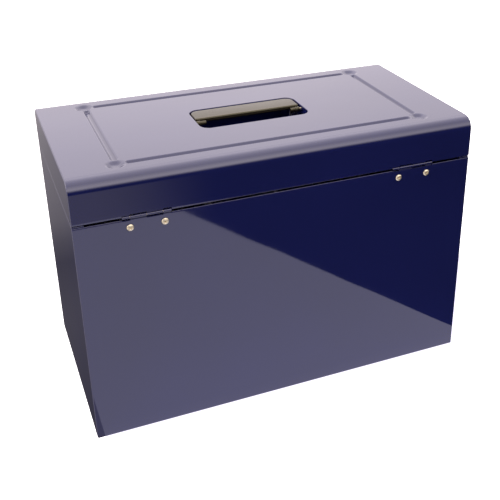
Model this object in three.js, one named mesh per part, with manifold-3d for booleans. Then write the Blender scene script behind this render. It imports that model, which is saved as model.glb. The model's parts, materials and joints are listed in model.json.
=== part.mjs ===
// A steel carrying box for sewing things: a hinged lid with a fold-flat handle and a cam lock, and two
// trays that slide along rails inside. Millimetres. X runs along the box, Y from the lock side to the
// hinge side, and Z up from the surface the box stands on, with the origin under its middle.

import * as THREE from 'three';
import { mergeVertices } from 'three/addons/utils/BufferGeometryUtils.js';
import Module from 'manifold-3d';

// The box
const LENGTH = 395;
const DEPTH = 205;
const HEIGHT = 270;
const SHEET = 0.8;
const GAP = 0.3; // between pieces that touch
const BASE_FOLD_RADIUS = 3;
const LID_ROLL_RADIUS = 12;
const PAN_FLANGE = 10.8; // how far an end panel's folded edge reaches into the box
const PAN_STAND_OUT = 0.6; // an end panel's face beyond the wrapper's cut edge

// The seam and the hinges on it
const HINGE_AXIS_Z = 229.5;
const HINGE_AXIS_INSET = 1.2; // from the outside of the rear wall
const LID_RIM_Z = 229.8;
const BODY_RIM_Z = 229.2;
const LID_REAR_RIM_Z = 230.2;
const BODY_REAR_RIM_Z = 228;
const HINGE_CENTRE_X = 132.5;
const HINGE_WIDTH = 44;
const KNUCKLE_RADIUS = 2.2;
const KNUCKLE_BORE = 1.2;
const HINGE_PIN_RADIUS = 1;
const KNUCKLE_WIDTHS = [7, 14.4, 14.4, 7.3]; // from the +X end
const KNUCKLE_OWNERS = ['lid', 'body', 'lid', 'body'];
const OWN_NOTCH = 2.4; // wall edge to axis, at a knuckle of the wall's own leaf
const OTHER_NOTCH = 3; // the same, at a knuckle of the other leaf
const LEAF_THICKNESS = 1;
const LEAF_START = 2.7; // from the axis
const LEAF_HEIGHT = 19;
const RIVET_OFFSET_X = 15.5; // from the middle of a hinge
const RIVET_Z = 220;
const RIVET_HOLE = 1.9;

// Pressed shapes in the lid's top
const GROOVE_WIDTH = 4.6;
const GROOVE_DEPTH = 2.4;
const LONG_GROOVE = { half: 139, at: 76 };
const SHORT_GROOVE = { half: 63, at: 150 };
const DIMPLE = { x: 151, y: 77, radius: 8.5, floorRadius: 4.2, depth: 3 };

// The handle and its recess
const RECESS = {
  halfX: 56.6, halfY: 26.5, radius: 10, rimDepth: 2.5, floorZ: 242, flange: 8, stepZ: 261.6, wellEdge: 5.4,
};
const HANDLE_AXIS_Z = 265.7;
const HANDLE = { halfX: 55.3, freeEdge: 25, pivotEdge: -1.8, under: -0.3, corner: 8, boss: 4.1, bossWidth: 10 };
const HANDLE_BEAD = { radius: 3, at: -21.5, half: 46 };
const HANDLE_PIN = { radius: 1.5, bore: 1.8, bossDepth: 8, headRadius: 2.1, headWidth: 1.2 };

// The lock, in the front of the lid, measured inwards from the lid's face
const LOCK_Z = 244;
const LOCK = { bezelRadius: 11, bezelFront: -1.5, barrelRadius: 9.2, barrelEnd: 16, hole: 9.5, bore: 5.8 };
const LOCK_NUT = { radius: 13.5, thickness: 4 };
const PLUG = { radius: 5.5, front: -1.2, end: 15.7, squareHalf: 2.5, squareEnd: 19 };
const KEYWAY = { width: 1.4, height: 8, depth: 4 };
const CAM = { start: 16.3, end: 18.3, hubRadius: 7, halfWidth: 4, reach: 16, squareHalf: 2.8 };
const CAM_SCREW = { headRadius: 4.2, headStart: 19.3, headEnd: 21.3, shank: 1.2, shankStart: 13, bore: 1.5 };
const KEEPER = { thickness: 1.2, webStart: 18, webEnd: 24, end: 32, armStart: 8, armZ: 248.6, armHeight: 3.7 };
const KEEPER_FLANGE = { start: 14, bottom: 208 };
const KEEPER_SHELF_Z = 226.5;

// Trays and rails. Both trays are described at the +X end.
const RAIL = { thickness: 1, half: 185, legHeight: 13 };
const TRAY = { start: 8, end: 193, wall: 1.2, corner: 6, lip: 1.5, lipHeight: 1.5 };
const UPPER = { halfDepth: 96, floorZ: 190, height: 34, railReach: 91, crossDividers: 2, longDivider: true };
const LOWER = { halfDepth: 88, floorZ: 146, height: 36, railReach: 83, crossDividers: 2, longDivider: false };
const DIVIDER = { thickness: 1.2, belowRim: 3, endClearance: 2 };
const KNOB_Z = 17; // above a tray's floor

// Smoothness
const ROUND_SIDES = 24;
const SMALL_ROUND_SIDES = 16;
const CORNER_STEPS = 6;

const HALF_LENGTH = LENGTH / 2;
const HALF_DEPTH = DEPTH / 2;
const HINGE_AXIS_Y = HALF_DEPTH - HINGE_AXIS_INSET;
const INNER_WALL = HALF_DEPTH - SHEET;
const LINING = INNER_WALL - GAP; // where a piece lies against the inside of a wall

const enamel = new THREE.MeshStandardMaterial({ color: 0x14184a, roughness: 0.15, metalness: 0 });
const bareSteel = new THREE.MeshStandardMaterial({ color: 0xc8c2b4, roughness: 0.3, metalness: 1 });
const blackPlastic = new THREE.MeshStandardMaterial({ color: 0x16110f, roughness: 0.25, metalness: 0 });
const chrome = new THREE.MeshStandardMaterial({ color: 0xd8d8d8, roughness: 0.12, metalness: 1 });
const trayPlastic = new THREE.MeshStandardMaterial({ color: 0xb9bcc6, roughness: 0.5, metalness: 0 });
const dividerPlastic = new THREE.MeshStandardMaterial({ color: 0xe2e3e6, roughness: 0.5, metalness: 0 });

const wasm = await Module();
wasm.setup();

// ---- From three.js geometry to a solid and back ----

function signedVolume(positions, triangles) {
  const [a, b, c] = [new THREE.Vector3(), new THREE.Vector3(), new THREE.Vector3()];
  let sum = 0;
  for (const [i, j, k] of triangles) {
    a.fromArray(positions, 3 * i);
    b.fromArray(positions, 3 * j);
    c.fromArray(positions, 3 * k);
    sum += a.dot(b.cross(c));
  }
  return sum;
}

function solid(geometry) {
  geometry.deleteAttribute('normal');
  geometry.deleteAttribute('uv');
  const merged = mergeVertices(geometry, 1e-4);
  const index = merged.index.array;
  const positions = merged.attributes.position.array;
  let triangles = [];
  for (let i = 0; i < index.length; i += 3) {
    const [a, b, c] = [index[i], index[i + 1], index[i + 2]];
    if (a !== b && b !== c && c !== a) triangles.push([a, b, c]);
  }
  if (signedVolume(positions, triangles) < 0) triangles = triangles.map(([a, b, c]) => [a, c, b]);
  const mesh = new wasm.Mesh({
    numProp: 3,
    vertProperties: Float32Array.from(positions),
    triVerts: Uint32Array.from(triangles.flat()),
  });
  return new wasm.Manifold(mesh);
}

function geometryOf(body) {
  const mesh = body.getMesh();
  const geometry = new THREE.BufferGeometry();
  geometry.setAttribute('position', new THREE.Float32BufferAttribute(mesh.vertProperties, 3));
  geometry.setIndex([...mesh.triVerts]);
  geometry.computeVertexNormals();
  return geometry;
}

const join = (...bodies) => bodies.reduce((whole, body) => whole.add(body));
const cut = (body, ...tools) => tools.reduce((rest, tool) => rest.subtract(tool), body);

// ---- Outlines ----

function arc(x, y, radius, from, to, steps = CORNER_STEPS) {
  const points = [];
  for (let i = 0; i <= steps; i++) {
    const angle = from + ((to - from) * i) / steps;
    points.push(new THREE.Vector2(x + radius * Math.cos(angle), y + radius * Math.sin(angle)));
  }
  return points;
}

const circle = (x, y, radius, sides) => arc(x, y, radius, 0, 2 * Math.PI, sides).slice(0, sides);

function roundedRectangle(halfX, halfY, radius) {
  const quarter = Math.PI / 2;
  const corners = [[1, 1], [-1, 1], [-1, -1], [1, -1]];
  return corners.flatMap(([sideX, sideY], i) =>
    arc(sideX * (halfX - radius), sideY * (halfY - radius), radius, i * quarter, (i + 1) * quarter));
}

const slotOutline = (half, radius) => roundedRectangle(half, radius, radius - 1e-3);

// A trough open at the top, standing on z = floor, as a filled outline in Y and Z.
function trough(half, floor, radius, frontTop, rearTop) {
  return [
    new THREE.Vector2(-half, frontTop),
    ...arc(-half + radius, floor + radius, radius, Math.PI, 1.5 * Math.PI),
    ...arc(half - radius, floor + radius, radius, 1.5 * Math.PI, 2 * Math.PI),
    new THREE.Vector2(half, rearTop),
  ];
}

// The same trough as one folded sheet.
function foldedSheet(half, radius, frontTop, rearTop) {
  const inner = trough(half - SHEET, SHEET, radius - SHEET, frontTop, rearTop).reverse();
  return [...trough(half, 0, radius, frontTop, rearTop), ...inner];
}

const upsideDown = (points) => points.map((point) => new THREE.Vector2(point.x, HEIGHT - point.y));

// ---- Solids from outlines ----

const alongX = new THREE.Matrix4().makeBasis(
  new THREE.Vector3(0, 1, 0), new THREE.Vector3(0, 0, 1), new THREE.Vector3(1, 0, 0));
const alongY = new THREE.Matrix4().makeBasis(
  new THREE.Vector3(0, 0, 1), new THREE.Vector3(1, 0, 0), new THREE.Vector3(0, 1, 0));
const alongZ = new THREE.Matrix4();

// The outline's two coordinates are Y and Z for alongX, Z and X for alongY, and X and Y for alongZ.
function prism(direction, outline, from, to) {
  const options = { depth: to - from, bevelEnabled: false };
  const geometry = new THREE.ExtrudeGeometry(new THREE.Shape(outline), options);
  geometry.translate(0, 0, from);
  geometry.applyMatrix4(direction);
  return solid(geometry);
}

function block(x0, x1, y0, y1, z0, z1) {
  const geometry = new THREE.BoxGeometry(Math.abs(x1 - x0), Math.abs(y1 - y0), Math.abs(z1 - z0));
  geometry.translate((x0 + x1) / 2, (y0 + y1) / 2, (z0 + z1) / 2);
  return solid(geometry);
}

function rod(direction, radius, from, to, centre = [0, 0], sides = SMALL_ROUND_SIDES) {
  return prism(direction, circle(centre[0], centre[1], radius, sides), from, to);
}

// A turned piece about the Y axis, from [radius, y] pairs.
function turned(profile, sides = ROUND_SIDES) {
  const points = profile.map(([radius, y]) => new THREE.Vector2(radius, y));
  return solid(new THREE.LatheGeometry(points, sides));
}

function addPiece(group, name, shape, material) {
  const geometry = shape instanceof THREE.BufferGeometry ? shape : geometryOf(shape);
  const mesh = new THREE.Mesh(geometry, material);
  mesh.name = name;
  group.add(mesh);
  return mesh;
}

// ---- Hinges ----

function knuckleSpans() {
  let high = HINGE_WIDTH / 2;
  return KNUCKLE_WIDTHS.map((width, i) => {
    const span = { owner: KNUCKLE_OWNERS[i], high, low: high - width };
    high -= width + GAP;
    return span;
  });
}

// Cuts a wall back from the knuckles of both hinges. Side is +1 above the axis, in the lid.
function cutHingeNotches(wall, owner, side) {
  let rest = wall;
  for (const centre of [-HINGE_CENTRE_X, HINGE_CENTRE_X]) {
    for (const span of knuckleSpans()) {
      const depth = span.owner === owner ? OWN_NOTCH : OTHER_NOTCH;
      const [low, high] = [centre + span.low - GAP, centre + span.high + GAP];
      const [bottom, top] = side > 0 ? [-5, depth] : [-depth, 5];
      const notch = block(low, high, INNER_WALL - 1, HALF_DEPTH + 1, HINGE_AXIS_Z + bottom, HINGE_AXIS_Z + top);
      rest = rest.subtract(notch);
    }
  }
  return rest;
}

// One leaf about its own axis, lying inside the rear wall.
function hingeLeaf(owner) {
  const side = owner === 'lid' ? 1 : -1;
  const outside = LINING - HINGE_AXIS_Y;
  const inside = outside - LEAF_THICKNESS;
  const half = HINGE_WIDTH / 2;
  let leaf = block(-half, half, inside, outside, side * LEAF_START, side * LEAF_HEIGHT);
  for (const span of knuckleSpans().filter((each) => each.owner === owner)) {
    leaf = join(leaf,
      rod(alongX, KNUCKLE_RADIUS, span.low, span.high),
      block(span.low, span.high, inside, outside, 0, side * (LEAF_START + 1)));
  }
  leaf = leaf.subtract(rod(alongX, KNUCKLE_BORE, -half - 1, half + 1));
  if (owner === 'lid') return leaf;
  const rivetHoles = [-RIVET_OFFSET_X, RIVET_OFFSET_X].map((x) =>
    rod(alongY, RIVET_HOLE, inside - 1, outside + 1, [RIVET_Z - HINGE_AXIS_Z, x]));
  return cut(leaf, ...rivetHoles);
}

// A pop rivet set along Y, with y = 0 at the outside of the rear wall.
function rivet() {
  const leafInside = LINING - LEAF_THICKNESS - HALF_DEPTH;
  const tail = leafInside - GAP;
  return turned([
    [0, tail - 2.2], [1.8, tail - 2.2], [2.6, tail - 1.6], [2.6, tail], [1.55, tail], [1.55, GAP],
    [3.2, GAP], [3.1, 0.7], [2.6, 1.1], [1.8, 1.4], [0.95, 1.5], [0.8, 1.4], [0.8, 0.6], [0, 0.6],
  ]);
}

function addHinges(bodyGroup, lidGroup) {
  const bodyLeaf = geometryOf(hingeLeaf('body'));
  const lidLeaf = geometryOf(hingeLeaf('lid'));
  const pin = geometryOf(rod(alongX, HINGE_PIN_RADIUS, GAP - HINGE_WIDTH / 2, HINGE_WIDTH / 2 - GAP));
  const rivetShape = geometryOf(rivet());
  for (const [side, x] of [['left', HINGE_CENTRE_X], ['right', -HINGE_CENTRE_X]]) {
    const atAxis = (mesh) => mesh.position.set(x, HINGE_AXIS_Y, HINGE_AXIS_Z);
    atAxis(addPiece(bodyGroup, `hinge_body_leaf_${side}`, bodyLeaf, enamel));
    atAxis(addPiece(lidGroup, `hinge_lid_leaf_${side}`, lidLeaf, enamel));
    atAxis(addPiece(bodyGroup, `hinge_pin_${side}`, pin, bareSteel));
    for (const [end, offset] of [['a', RIVET_OFFSET_X], ['b', -RIVET_OFFSET_X]]) {
      const mesh = addPiece(bodyGroup, `rivet_${side}_${end}`, rivetShape, bareSteel);
      mesh.position.set(x + offset, HALF_DEPTH, RIVET_Z);
    }
  }
}

// ---- Body ----

function bodyWrapper() {
  const outline = foldedSheet(HALF_DEPTH, BASE_FOLD_RADIUS, BODY_RIM_Z, BODY_REAR_RIM_Z);
  const half = HALF_LENGTH - PAN_STAND_OUT;
  const rivetHoles = [-1, 1].flatMap((side) => [-1, 1].map((end) => {
    const x = side * HINGE_CENTRE_X + end * RIVET_OFFSET_X;
    return rod(alongY, RIVET_HOLE, INNER_WALL - 1, HALF_DEPTH + 1, [RIVET_Z, x]);
  }));
  return cut(cutHingeNotches(prism(alongX, outline, -half, half), 'body', -1), ...rivetHoles);
}

// An end panel at +X with its edges folded in against the wrapper, from a filled outline and the
// same outline one sheet smaller.
function endPan(outline, innerOutline) {
  const start = HALF_LENGTH - PAN_FLANGE;
  const whole = prism(alongX, outline, start, HALF_LENGTH);
  return whole.subtract(prism(alongX, innerOutline, start - 1, HALF_LENGTH - SHEET));
}

function bodyEnd() {
  const lift = SHEET + GAP;
  const outline = trough(LINING, lift, BASE_FOLD_RADIUS - lift, BODY_RIM_Z, BODY_RIM_Z);
  const inner = trough(LINING - SHEET, lift + SHEET, BASE_FOLD_RADIUS - lift - SHEET, HEIGHT, HEIGHT);
  return endPan(outline, inner);
}

// The bracket on the front wall whose arm holds the lock's cam down.
function keeper() {
  const front = -LINING;
  const camFront = -HALF_DEPTH + CAM.start;
  const camBack = -HALF_DEPTH + CAM.end;
  const shelfTop = KEEPER_SHELF_Z + KEEPER.thickness;
  const armTop = KEEPER.armZ + KEEPER.armHeight;
  return join(
    block(KEEPER_FLANGE.start, KEEPER.end, front, front + KEEPER.thickness, KEEPER_FLANGE.bottom, shelfTop),
    block(KEEPER.webStart, KEEPER.end, front, camBack, KEEPER_SHELF_Z, shelfTop),
    block(KEEPER.webStart, KEEPER.webEnd, camFront, camBack, KEEPER_SHELF_Z, armTop),
    block(KEEPER.armStart, KEEPER.webEnd, camFront, camBack, KEEPER.armZ, armTop));
}

// An angle rail against the rear wall, with its ledge just under a tray's floor.
function rail(tray) {
  const top = tray.floorZ - GAP;
  const ledge = block(-RAIL.half, RAIL.half, tray.railReach, LINING, top - RAIL.thickness, top);
  const leg = block(-RAIL.half, RAIL.half, LINING - RAIL.thickness, LINING, top - RAIL.legHeight, top);
  return join(ledge, leg);
}

function addBody(group) {
  addPiece(group, 'body_wrapper', bodyWrapper(), enamel);
  const end = geometryOf(bodyEnd());
  addPiece(group, 'body_end_left', end, enamel);
  addPiece(group, 'body_end_right', end, enamel).rotation.z = Math.PI;
  for (const [level, tray] of [['upper', UPPER], ['lower', LOWER]]) {
    const shape = geometryOf(rail(tray));
    addPiece(group, `${level}_rail_rear`, shape, enamel);
    addPiece(group, `${level}_rail_front`, shape, enamel).rotation.z = Math.PI;
  }
  addPiece(group, 'lock_keeper', keeper(), bareSteel);
}

// ---- Lid ----

// Grooves and dimples pressed into the lid's top. Each gives the metal it pushes down and the hollow.
function pressings() {
  const radius = GROOVE_WIDTH / 2;
  const grooveFloor = HEIGHT - GROOVE_DEPTH;
  const dimpleFloor = HEIGHT - DIMPLE.depth;
  const added = [];
  const removed = [];
  const groove = (outlineOf) => {
    added.push(prism(alongZ, outlineOf(SHEET), grooveFloor - SHEET, HEIGHT - SHEET / 2));
    removed.push(prism(alongZ, outlineOf(0), grooveFloor, HEIGHT + 1));
  };
  const moved = (points, x, y) => points.map((p) => new THREE.Vector2(p.x + x, p.y + y));
  const turnedQuarter = (points) => points.map((p) => new THREE.Vector2(-p.y, p.x));
  for (const side of [-1, 1]) {
    groove((grow) => moved(slotOutline(LONG_GROOVE.half + grow, radius + grow), 0, side * LONG_GROOVE.at));
    groove((grow) =>
      moved(turnedQuarter(slotOutline(SHORT_GROOVE.half + grow, radius + grow)), side * SHORT_GROOVE.at, 0));
    for (const end of [-1, 1]) {
      const cone = (grow, bottom, height) => solid(
        new THREE.CylinderGeometry(DIMPLE.radius + grow, DIMPLE.floorRadius + grow, height, ROUND_SIDES)
          .rotateX(Math.PI / 2)
          .translate(side * DIMPLE.x, end * DIMPLE.y, bottom + height / 2));
      added.push(cone(SHEET, dimpleFloor - SHEET, DIMPLE.depth + SHEET / 2));
      removed.push(cone(0, dimpleFloor, DIMPLE.depth + 0.01));
    }
  }
  return { added, removed };
}

function lidWrapper() {
  const half = HALF_LENGTH - PAN_STAND_OUT;
  const outline = upsideDown(
    foldedSheet(HALF_DEPTH, LID_ROLL_RADIUS, HEIGHT - LID_RIM_Z, HEIGHT - LID_REAR_RIM_Z));
  const { added, removed } = pressings();
  const rimOutside = roundedRectangle(RECESS.halfX + SHEET, RECESS.halfY + SHEET, RECESS.radius + SHEET);
  const rim = prism(alongZ, rimOutside, HEIGHT - RECESS.rimDepth, HEIGHT - SHEET / 2);
  const opening = prism(alongZ,
    roundedRectangle(RECESS.halfX, RECESS.halfY, RECESS.radius), HEIGHT - RECESS.rimDepth - 1, HEIGHT + 1);
  const lockHole = rod(alongY, LOCK.hole, -HALF_DEPTH - 1, -INNER_WALL + 1, [LOCK_Z, 0], ROUND_SIDES);
  const pressed = cut(join(prism(alongX, outline, -half, half), ...added, rim), ...removed, opening);
  return cutHingeNotches(pressed.subtract(lockHole), 'lid', 1);
}

function lidEnd() {
  const inset = SHEET + GAP;
  const depth = HEIGHT - LID_RIM_Z;
  const outline = trough(LINING, inset, LID_ROLL_RADIUS - inset, depth, depth);
  const inner = trough(LINING - SHEET, inset + SHEET, LID_ROLL_RADIUS - inset - SHEET, HEIGHT, HEIGHT);
  return endPan(upsideDown(outline), upsideDown(inner));
}

// The drawn cup under the lid's opening, with a flange against the lid's underside. It is a deep well under
// the folded handle and a shallow step to the rear of it.
function handleCup() {
  const grown = (by) => roundedRectangle(RECESS.halfX + by, RECESS.halfY + by, RECESS.radius + by);
  const inside = SHEET + GAP;
  const outside = inside + SHEET;
  const top = HEIGHT - SHEET - GAP;
  const reach = RECESS.halfX + outside + 1;
  const wellPart = (edge) => block(-reach, reach, -reach, edge, RECESS.floorZ - 2 * SHEET, HEIGHT);
  const whole = join(
    prism(alongZ, grown(outside), RECESS.floorZ - SHEET, top).intersect(wellPart(RECESS.wellEdge + SHEET)),
    prism(alongZ, grown(outside), RECESS.stepZ - SHEET, top),
    prism(alongZ, grown(outside + RECESS.flange), top - SHEET, top));
  const well = prism(alongZ, grown(inside), RECESS.floorZ, HEIGHT).intersect(wellPart(RECESS.wellEdge));
  const step = prism(alongZ, grown(inside), RECESS.stepZ, HEIGHT);
  const pinHole = rod(alongX, HANDLE_PIN.bore, -reach, reach, [0, HANDLE_AXIS_Z]);
  return cut(whole, well, step, pinHole);
}

// Headed pins about the handle's axis, with the head outside the cup's end wall.
function handlePin() {
  const headStart = RECESS.halfX + 2 * (SHEET + GAP);
  const shank = rod(alongX, HANDLE_PIN.radius, HANDLE.halfX - HANDLE_PIN.bossDepth + GAP, headStart + 0.1);
  return join(shank, rod(alongX, HANDLE_PIN.headRadius, headStart, headStart + HANDLE_PIN.headWidth));
}

function addLid(group) {
  addPiece(group, 'lid_wrapper', lidWrapper(), enamel);
  const end = geometryOf(lidEnd());
  addPiece(group, 'lid_end_left', end, enamel);
  addPiece(group, 'lid_end_right', end, enamel).rotation.z = Math.PI;
  addPiece(group, 'handle_cup', handleCup(), enamel);
  const pin = geometryOf(handlePin());
  for (const [side, turn] of [['left', 0], ['right', Math.PI]]) {
    const mesh = addPiece(group, `handle_pin_${side}`, pin, bareSteel);
    mesh.position.z = HANDLE_AXIS_Z;
    mesh.rotation.z = turn;
  }
}

// ---- Handle, about its pivot axis, folded towards the lock side ----

function handleGrip() {
  const { halfX, freeEdge, pivotEdge, corner, boss } = HANDLE;
  const outline = [
    new THREE.Vector2(halfX, pivotEdge),
    new THREE.Vector2(-halfX, pivotEdge),
    ...arc(corner - halfX, corner - freeEdge, corner, Math.PI, 1.5 * Math.PI),
    ...arc(halfX - corner, corner - freeEdge, corner, 1.5 * Math.PI, 2 * Math.PI),
  ];
  const bossStart = halfX - HANDLE.bossWidth;
  const boreStart = halfX - HANDLE_PIN.bossDepth;
  const beadZ = boss - HANDLE_BEAD.radius;
  return cut(
    join(
      prism(alongZ, outline, HANDLE.under, boss),
      rod(alongX, boss, -halfX, -bossStart, [0, 0], ROUND_SIDES),
      rod(alongX, boss, bossStart, halfX, [0, 0], ROUND_SIDES),
      rod(alongX, HANDLE_BEAD.radius, -HANDLE_BEAD.half, HANDLE_BEAD.half, [HANDLE_BEAD.at, beadZ])),
    rod(alongX, HANDLE_PIN.bore, -halfX - 1, -boreStart),
    rod(alongX, HANDLE_PIN.bore, boreStart, halfX + 1));
}

// ---- Lock, about its own axis, with y = 0 at the lid's front face ----

function lockBody() {
  const { bezelRadius, bezelFront, barrelRadius, barrelEnd, bore } = LOCK;
  return turned([
    [bore, bezelFront], [bezelRadius - 0.8, bezelFront], [bezelRadius, bezelFront + 0.5],
    [bezelRadius, -GAP], [barrelRadius, -GAP], [barrelRadius, barrelEnd], [bore, barrelEnd], [bore, bezelFront],
  ]);
}

function lockNut() {
  const start = SHEET + GAP;
  const hexagon = prism(alongY, circle(0, 0, LOCK_NUT.radius, 6), start, start + LOCK_NUT.thickness);
  return hexagon.subtract(rod(alongY, LOCK.hole, 0, start + LOCK_NUT.thickness + 1, [0, 0], ROUND_SIDES));
}

function lockPlug() {
  const half = PLUG.squareHalf;
  return cut(
    join(
      rod(alongY, PLUG.radius, PLUG.front, PLUG.end, [0, 0], ROUND_SIDES),
      block(-half, half, PLUG.end - 1, PLUG.squareEnd, -half, half)),
    block(-KEYWAY.width / 2, KEYWAY.width / 2, PLUG.front - 1, PLUG.front + KEYWAY.depth,
      -KEYWAY.height / 2, KEYWAY.height / 2),
    rod(alongY, CAM_SCREW.bore, CAM_SCREW.shankStart - GAP, PLUG.squareEnd + 1));
}

// Hangs down when the lock is open.
function lockCam() {
  const half = CAM.squareHalf;
  const hub = rod(alongY, CAM.hubRadius, CAM.start, CAM.end, [0, 0], ROUND_SIDES);
  const bar = block(-CAM.halfWidth, CAM.halfWidth, CAM.start, CAM.end, -CAM.reach, 0);
  return join(hub, bar).subtract(block(-half, half, CAM.start - 1, CAM.end + 1, -half, half));
}

function camScrew() {
  const { headRadius, headStart, headEnd, shank, shankStart } = CAM_SCREW;
  return cut(
    join(
      rod(alongY, shank, shankStart, headStart + 0.1),
      rod(alongY, headRadius, headStart, headEnd, [0, 0], ROUND_SIDES)),
    block(-0.6, 0.6, headEnd - 1, headEnd + 1, -headRadius, headRadius));
}

function addLock(lidGroup) {
  const fixed = new THREE.Group();
  fixed.position.set(0, -HALF_DEPTH, LOCK_Z);
  lidGroup.add(fixed);
  addPiece(fixed, 'lock_body', lockBody(), chrome);
  addPiece(fixed, 'lock_nut', lockNut(), bareSteel);
  addPiece(fixed, 'lock_plug', lockPlug(), chrome);
  addPiece(fixed, 'lock_cam', lockCam(), bareSteel);
  addPiece(fixed, 'lock_screw', camScrew(), bareSteel);
}

// ---- Trays, both made at the +X end with the floor's underside at z = 0 ----

const trayMiddle = (TRAY.start + TRAY.end) / 2;
const trayHalf = (TRAY.end - TRAY.start) / 2;

function trayOutline(tray, grow) {
  const points = roundedRectangle(trayHalf + grow, tray.halfDepth + grow, TRAY.corner + grow);
  return points.map((point) => new THREE.Vector2(point.x + trayMiddle, point.y));
}

function trayPan(tray) {
  const knobHole = rod(alongX, 2.3, TRAY.start - 1, TRAY.start + TRAY.wall + 1, [0, KNOB_Z]);
  const shell = join(
    prism(alongZ, trayOutline(tray, 0), 0, tray.height),
    prism(alongZ, trayOutline(tray, TRAY.lip), tray.height - TRAY.lipHeight, tray.height));
  const hollow = prism(alongZ, trayOutline(tray, -TRAY.wall), TRAY.wall, tray.height + 1);
  return cut(shell, hollow, knobHole);
}

// A turned knob on the wall at x = TRAY.start. Its stud passes through, with a washer-like head inside.
function trayKnob() {
  const inner = TRAY.wall + GAP;
  const knob = turned([
    [0, -9.5], [3, -9.3], [5.2, -8.2], [6, -6.5], [5.6, -4.8], [3.4, -3], [3, -1.6], [5, -GAP], [2, -GAP],
    [2, inner], [4, inner], [3.6, inner + 1], [0, inner + 1],
  ], SMALL_ROUND_SIDES);
  return knob.rotate([0, 0, -90]);
}

const dividerBottom = TRAY.wall + GAP;
const dividerTop = (tray) => tray.height - DIVIDER.belowRim;
const crossPlace = (tray, i) => TRAY.start + ((i + 1) * 2 * trayHalf) / (tray.crossDividers + 1);

// Cross dividers are slotted from below where the long divider passes, and it is slotted from above.
function crossDivider(tray) {
  const half = DIVIDER.thickness / 2;
  const reach = tray.halfDepth - TRAY.wall - GAP;
  const plate = block(-half, half, -reach, reach, dividerBottom, dividerTop(tray));
  if (!tray.longDivider) return plate;
  const middle = (dividerBottom + dividerTop(tray)) / 2;
  return plate.subtract(block(-half - 1, half + 1, -half - GAP, half + GAP, 0, middle + GAP));
}

function longDivider(tray) {
  const half = DIVIDER.thickness / 2;
  const start = TRAY.start + TRAY.wall + DIVIDER.endClearance;
  const end = TRAY.end - TRAY.wall - GAP;
  const middle = (dividerBottom + dividerTop(tray)) / 2;
  let plate = block(start, end, -half, half, dividerBottom, dividerTop(tray));
  for (let i = 0; i < tray.crossDividers; i++) {
    const x = crossPlace(tray, i);
    plate = plate.subtract(block(x - half - GAP, x + half + GAP, -half - 1, half + 1, middle - GAP, tray.height));
  }
  return plate;
}

function makeTray(level, tray, turn) {
  const group = new THREE.Group();
  group.position.z = tray.floorZ;
  group.rotation.z = turn;
  addPiece(group, `${level}_tray`, trayPan(tray), trayPlastic);
  addPiece(group, `${level}_tray_knob`, trayKnob(), blackPlastic).position.set(TRAY.start, 0, KNOB_Z);
  const divider = geometryOf(crossDivider(tray));
  for (let i = 0; i < tray.crossDividers; i++) {
    const mesh = addPiece(group, `${level}_cross_divider_${i + 1}`, divider, dividerPlastic);
    mesh.position.x = crossPlace(tray, i);
  }
  if (tray.longDivider) addPiece(group, `${level}_long_divider`, longDivider(tray), dividerPlastic);
  return group;
}

// ---- Assembly ----

const box = new THREE.Group();
const bodyGroup = new THREE.Group();
const lidGroup = new THREE.Group();
box.add(bodyGroup, lidGroup);
addBody(bodyGroup);
addLid(lidGroup);
addHinges(bodyGroup, lidGroup);
addLock(lidGroup);
addPiece(lidGroup, 'handle_grip', handleGrip(), blackPlastic).position.z = HANDLE_AXIS_Z;
box.add(makeTray('upper', UPPER, 0), makeTray('lower', LOWER, Math.PI));

export default box;
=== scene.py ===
"""A navy enamelled steel carrying box with sewing trays: looks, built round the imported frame."""
import json
import math

import bmesh
import bpy
from mathutils import Matrix, Vector

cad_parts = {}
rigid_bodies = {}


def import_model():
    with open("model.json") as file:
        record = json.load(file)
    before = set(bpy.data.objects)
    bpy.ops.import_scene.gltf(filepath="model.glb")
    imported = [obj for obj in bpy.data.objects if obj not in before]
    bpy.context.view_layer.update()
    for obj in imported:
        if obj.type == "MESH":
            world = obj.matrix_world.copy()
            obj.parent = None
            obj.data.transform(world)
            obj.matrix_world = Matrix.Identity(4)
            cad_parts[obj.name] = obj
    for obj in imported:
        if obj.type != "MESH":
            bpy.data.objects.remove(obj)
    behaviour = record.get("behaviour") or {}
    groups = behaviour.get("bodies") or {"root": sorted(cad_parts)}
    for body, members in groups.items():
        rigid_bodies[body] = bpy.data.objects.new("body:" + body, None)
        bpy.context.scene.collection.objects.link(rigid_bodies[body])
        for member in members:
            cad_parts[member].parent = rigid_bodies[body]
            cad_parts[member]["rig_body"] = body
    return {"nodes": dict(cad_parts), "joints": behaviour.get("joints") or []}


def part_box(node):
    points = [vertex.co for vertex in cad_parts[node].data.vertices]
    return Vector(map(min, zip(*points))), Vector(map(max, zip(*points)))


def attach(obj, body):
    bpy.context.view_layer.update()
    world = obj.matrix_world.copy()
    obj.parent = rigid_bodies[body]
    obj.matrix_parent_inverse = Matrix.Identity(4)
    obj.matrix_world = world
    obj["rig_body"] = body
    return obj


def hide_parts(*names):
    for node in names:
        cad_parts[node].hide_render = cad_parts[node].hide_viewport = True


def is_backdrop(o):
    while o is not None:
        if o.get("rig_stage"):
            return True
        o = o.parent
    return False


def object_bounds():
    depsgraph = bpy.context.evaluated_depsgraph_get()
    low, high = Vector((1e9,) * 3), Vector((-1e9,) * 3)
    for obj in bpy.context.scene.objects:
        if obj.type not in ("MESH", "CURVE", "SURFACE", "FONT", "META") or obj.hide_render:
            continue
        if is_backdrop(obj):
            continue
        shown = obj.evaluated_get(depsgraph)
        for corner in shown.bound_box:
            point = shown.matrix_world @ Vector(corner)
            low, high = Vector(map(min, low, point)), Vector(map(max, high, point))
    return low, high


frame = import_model()
cad_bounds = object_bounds()

MM = 0.001
SHEET = 0.8 * MM
GAP = 0.3 * MM
QUARTER = math.pi / 2

# ---- Places and sizes, from the frame ----

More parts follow.
